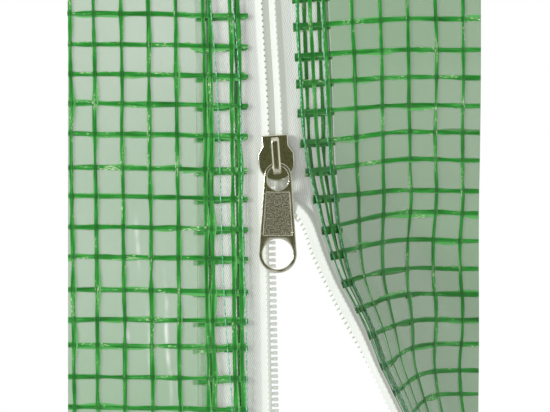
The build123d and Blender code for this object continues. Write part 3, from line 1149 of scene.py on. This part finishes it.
# The free right stringer's turns lie behind the edge of its tape and turn with it, and stop before its crest
def openTurns():
    found = []
    length = stringerLength(zipShape["mouth"] + turnShape["endGap"])
    while length < stringerLengths[-1] - 1.2:
        z = stringerHeight(length)
        points, above, below = rightProfile(z), rightProfile(z + 0.5), rightProfile(z - 0.5)
        edge, crest = points[0], points[zipTape["crest"]]
        ahead = (above[0] - below[0]).normalized()
        across = (crest - edge).normalized()
        across = (across - ahead * across.dot(ahead)).normalized()
        rear = ahead.cross(across)
        gap = (edge.x - rightLine(z) + zipShape["nose"]) / max(across.x, 0.5)
        share = min(1.0, ((crest - edge).length + gap - 0.35) / (turnShape["back"] + zipShape["nose"]))
        place = edge + rear * (zipShape["tape"] + 0.06) - across * (gap - zipShape["nose"] * share)
        found.append(placed(-across, rear, rear.cross(across), place) @ Matrix.Diagonal((share, 1, 1, 1)))
        length += zipShape["pitch"]
    return found


def turnHeights(first, last):
    count = int((first - last) / zipShape["pitch"])
    return [first - zipShape["pitch"] * i for i in range(count + 1)]


def coils():
    first, freeFrom = top - turnShape["endGap"], turnShape["freeFrom"]
    leftHeights = turnHeights(first, bottom + turnShape["endGap"])
    rightHeights = turnHeights(first - zipShape["pitch"] / 2, zipShape["split"] + turnShape["endGap"])
    closed = wound("closed", straightTurns([z for z in leftHeights if z >= freeFrom], 1), "turns")
    free = wound("free", straightTurns([z for z in leftHeights if z < freeFrom], 1), "turns")
    pieces = {
        "left_coil": joined([closed, free], "leftCoil"),
        "right_coil_closed": wound("closed", straightTurns(rightHeights, -1), "rightCoilClosed"),
        "right_coil_open": wound("bead", openTurns(), "rightCoilOpen"),
    }
    return [finishPiece(piece, 80, nylonMaterial, "zip_coil", node) for node, piece in pieces.items()]


coilPieces = coils()
print("coils wound")


# Stitches: short bowed threads that dip into the cloth at both ends
def stitchRow(spots, length, thick, name, material, slot):
    deselectAll()
    bpy.ops.mesh.primitive_uv_sphere_add(segments=8, ring_count=6, radius=0.5 * mm)
    stitch = bpy.context.object
    for point in stitch.data.vertices:
        share = point.co.z / (0.5 * mm)
        point.co.x *= thick
        point.co.y = point.co.y * thick + 0.35 * thick * share * share * mm
        point.co.z *= length
    matrices = []
    for low, high in zip(spots, spots[1:]):
        along, back = (high - low).normalized(), Vector((0, 1, 0))
        rear = (back - along * back.dot(along)).normalized()
        matrices.append(placed(rear.cross(along), rear, along, (low + high) / 2))
    return finishPiece(copied(stitch, matrices, name), 80, material, slot)


# The seams through both hems, by place on the left and by arc on the right, and those along the coils
seams = {
    "pitch": 2.7,
    "thick": 0.34,
    "left": [
        [(40.6, 58.9), (42.6, 35.1), (43.4, 11.1), (44.3, -17.7), (45.1, -33.7), (46.3, -48.6)],
        [(47.1, 58.9), (48.9, 37.4), (49.4, 20.6), (50.3, -18.6), (51.1, -33.7), (52.1, -52.6)],
    ],
    "rightArcs": [1.2, 8.4],
    "coilThick": {"left": 0.26, "right": 0.16},
    "coilStitch": 0.72,
    "coilLevel": 0.03,
}


def filmSeams():
    count = int(tall / seams["pitch"])
    heights = [mix(bottom + 0.4, top - 0.4, i / count) for i in range(count + 1)]
    rows = {}
    for index, points in enumerate(seams["left"], 1):
        line, spots = ZipLine(points), []
        for z in heights:
            x = min(line.at(z), leftFold(z) - 0.5) + 0.12 * wobble(index + 400, z, 4.0)
            spots.append(Vector((x, -levels["seam"], z)))
        rows[f"leftSeam{index}"] = spots
    for index, arc in enumerate(seams["rightArcs"], 1):
        arcs = [arc + 0.12 * wobble(index + 410, z, 4.0) for z in heights]
        rows[f"rightSeam{index}"] = [rightSpot(runAt(z, a), z, -levels["seam"]) for a, z in zip(arcs, heights)]
    return [
        stitchRow(spots, seams["pitch"], seams["thick"], name, stitchMaterial, "mesh_tape")
        for name, spots in rows.items()
    ]


# The seams that hold the coils run along the crests of both tapes
def coilSeams():
    crest, pitch, forward = zipTape["crest"], zipShape["pitch"], Vector((0, -seams["coilLevel"], 0))
    count = int((stringerLengths[-1] - 0.6) / pitch)
    rightHeights = [stringerHeight(0.3 + pitch * i) for i in range(count + 1)]
    spots = {
        "left": [leftProfile(z)[crest] + forward for z in turnHeights(top - 0.3, bottom + 0.3)],
        "right": [rightProfile(z)[crest] + forward for z in rightHeights],
    }
    size = pitch * seams["coilStitch"]
    return [
        stitchRow(row, size, seams["coilThick"][hand], f"{hand}CoilSeam", nylonMaterial, "zip_tape")
        for hand, row in spots.items()
    ]


filmStitches = filmSeams()
coilStitches = coilSeams()
print("seams sewn")

# Circles of the tab's eye, hole and ends, as x, z and radius, and the depth of its grained field
tabShape = {
    "arcs": [(59.95, -13.7, 4.37), (59.95, -13.7, 5.4), (59.95, 8.46, 3.9), (59.95, 8.36, 3.0), (59.95, 7.46, 3.0)],
    "arcStep": 3.0,
    "field": -2.70,
    "edge": 0.38,
}


# Splits the edges of the given circles and puts the new points on them
def finerArcs(piece, arcs):
    def offArc(point, arc):
        return abs(math.hypot(point.x / mm - arc[0], point.z / mm - arc[1]) - arc[2])

    makeActive(piece)
    bpy.ops.object.mode_set(mode="EDIT")
    bpy.ops.mesh.select_mode(type="EDGE")
    bpy.ops.mesh.select_all(action="DESELECT")
    bpy.ops.object.mode_set(mode="OBJECT")
    before = len(piece.data.vertices)
    for edge in piece.data.edges:
        a, b = (piece.data.vertices[i].co for i in edge.vertices)
        short = (a - b).length < tabShape["arcStep"] * mm and abs(a.y - b.y) < 0.001 * mm
        edge.select = short and any(max(offArc(a, arc), offArc(b, arc)) < 0.02 for arc in arcs)
    bpy.ops.object.mode_set(mode="EDIT")
    bpy.ops.mesh.subdivide(number_cuts=2)
    bpy.ops.object.mode_set(mode="OBJECT")
    for point in list(piece.data.vertices)[before:]:
        x, z, radius = min(arcs, key=lambda arc: offArc(point.co, arc))
        away = Vector((point.co.x - x * mm, 0, point.co.z - z * mm)).normalized() * radius * mm
        point.co = Vector((x * mm + away.x, point.co.y, z * mm + away.z))


# Slider and pull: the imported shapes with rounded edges
def roundedCopy(node, name, width, segments, material, body="closure", level=True, arcs=()):
    copy = linked(name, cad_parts[node].data.copy())
    makeActive(copy)
    bpy.ops.object.mode_set(mode="EDIT")
    bpy.ops.mesh.select_all(action="SELECT")
    bpy.ops.mesh.remove_doubles(threshold=0.00001)
    bpy.ops.mesh.dissolve_limited(angle_limit=math.radians(2))
    bpy.ops.mesh.normals_make_consistent(inside=False)
    bpy.ops.object.mode_set(mode="OBJECT")
    if arcs:
        finerArcs(copy, arcs)
    edge = copy.modifiers.new("edge", "BEVEL")
    edge.width = width * mm
    edge.segments = segments
    edge.limit_method = "ANGLE"
    edge.angle_limit = math.radians(35)
    bpy.ops.object.modifier_apply(modifier=edge.name)
    finishPiece(copy, 30, material, "slider_metal", node, body=body)
    if level:
        even = copy.modifiers.new("even", "WEIGHTED_NORMAL")
        even.keep_sharp = True
        bpy.ops.object.modifier_apply(modifier=even.name)
    return copy


def slider():
    roundedCopy("slider_front_plate", "sliderFrontPlate", 0.10, 2, nickelMaterial)
    roundedCopy("slider_back_plate", "sliderBackPlate", 0.12, 2, nickelMaterial)
    roundedCopy("slider_post", "sliderPost", 0.05, 1, nickelMaterial)
    roundedCopy("slider_bail", "sliderBail", 0.50, 5, bailMaterial, level=False)
    tab = roundedCopy("pull_tab", "pullTab", tabShape["edge"], 4, pullMaterial, "pull", False, tabShape["arcs"])
    tab.data.materials.append(grainMaterial)
    for face in tab.data.polygons:
        if face.normal.y < -0.99 and abs(face.center.y / mm - tabShape["field"]) < 0.02:
            face.material_index = 1


slider()
print("slider dressed")


# Studio: floor, lamps, pale world and a dark card that only reflections see
studio = {
    "floor": -170.0,
    "floorSize": 1.6,
    "ambient": 0.53,
    "key": (-1.36, -0.78, 0.35),
    "keySize": 0.42,
    "keyPower": 17.5,
    "fill": (0.9, -1.3, 0.1),
    "fillSize": 1.2,
    "fillPower": 0.4,
    "aim": (0.059, 0, 0),
    "cardAt": (-0.25, -2.2, 0.0),
    "cardSize": (2.3, 2.2, 1),
    "cardColour": (0.10, 0.11, 0.045),
    "cameraAt": (59.14, -1500.0, 0.0),
    "frameWidth": 157.14,
    "sensor": 36.0,
}


def studioFloor():
    deselectAll()
    place = (studio["aim"][0], 0, studio["floor"] * mm)
    bpy.ops.mesh.primitive_circle_add(vertices=96, radius=studio["floorSize"], fill_type="NGON", location=place)
    floor = bpy.context.object
    floor.name = "floor"
    floor.data.materials.append(Finish("paleFloor", Base_Color=(0.9, 0.9, 0.9), Roughness=0.9).material)


def darkCard():
    deselectAll()
    bpy.ops.mesh.primitive_plane_add(size=1, location=studio["cardAt"])
    card = bpy.context.object
    card.name = "darkCard"
    card.scale = studio["cardSize"]
    card.rotation_euler = (math.radians(90), 0, 0)
    flat = Finish("darkCard")
    glow = flat.nodes.new("ShaderNodeEmission")
    flat.put(studio["cardColour"], glow.inputs["Color"])
    flat.nodes.remove(flat.shader)
    flat.put(glow.outputs[0], flat.nodes["Material Output"].inputs["Surface"])
    card.data.materials.append(flat.material)
    card.visible_camera = card.visible_diffuse = card.visible_shadow = card.visible_transmission = False


def lamp(name, place, size, power):
    light = bpy.data.lights.new(name, "AREA")
    light.size = size
    light.energy = power
    holder = linked(name, light)
    holder.location = place
    holder.rotation_euler = (Vector(studio["aim"]) - Vector(place)).to_track_quat("-Z", "Y").to_euler()


def paleWorld():
    world = bpy.data.worlds.new("studio")
    bpy.context.scene.world = world
    world.use_nodes = True
    work = Nodes(world.node_tree)
    back = work.nodes["Background"]
    work.put((1, 1, 1), back.inputs["Color"])
    seen = work.calc("MAXIMUM", work.ray("Camera"), work.ray("Glossy"))
    seen = work.calc("MAXIMUM", seen, work.ray("Transmission"))
    work.put(work.plus(work.times(seen, 1 - studio["ambient"]), studio["ambient"]), back.inputs["Strength"])


def camera():
    eye = bpy.data.cameras.new("camera")
    eye.sensor_width = studio["sensor"]
    eye.lens = studio["sensor"] * -studio["cameraAt"][1] / studio["frameWidth"]
    eye.clip_end = 20
    holder = linked("camera", eye)
    holder.location = Vector(studio["cameraAt"]) * mm
    holder.rotation_euler = (math.radians(90), 0, 0)
    bpy.context.scene.camera = holder


studioFloor()
darkCard()
lamp("keyLamp", studio["key"], studio["keySize"], studio["keyPower"])
lamp("fillLamp", studio["fill"], studio["fillSize"], studio["fillPower"])
paleWorld()
camera()
bpy.context.scene.view_settings.view_transform = "Standard"
print("studio lit")
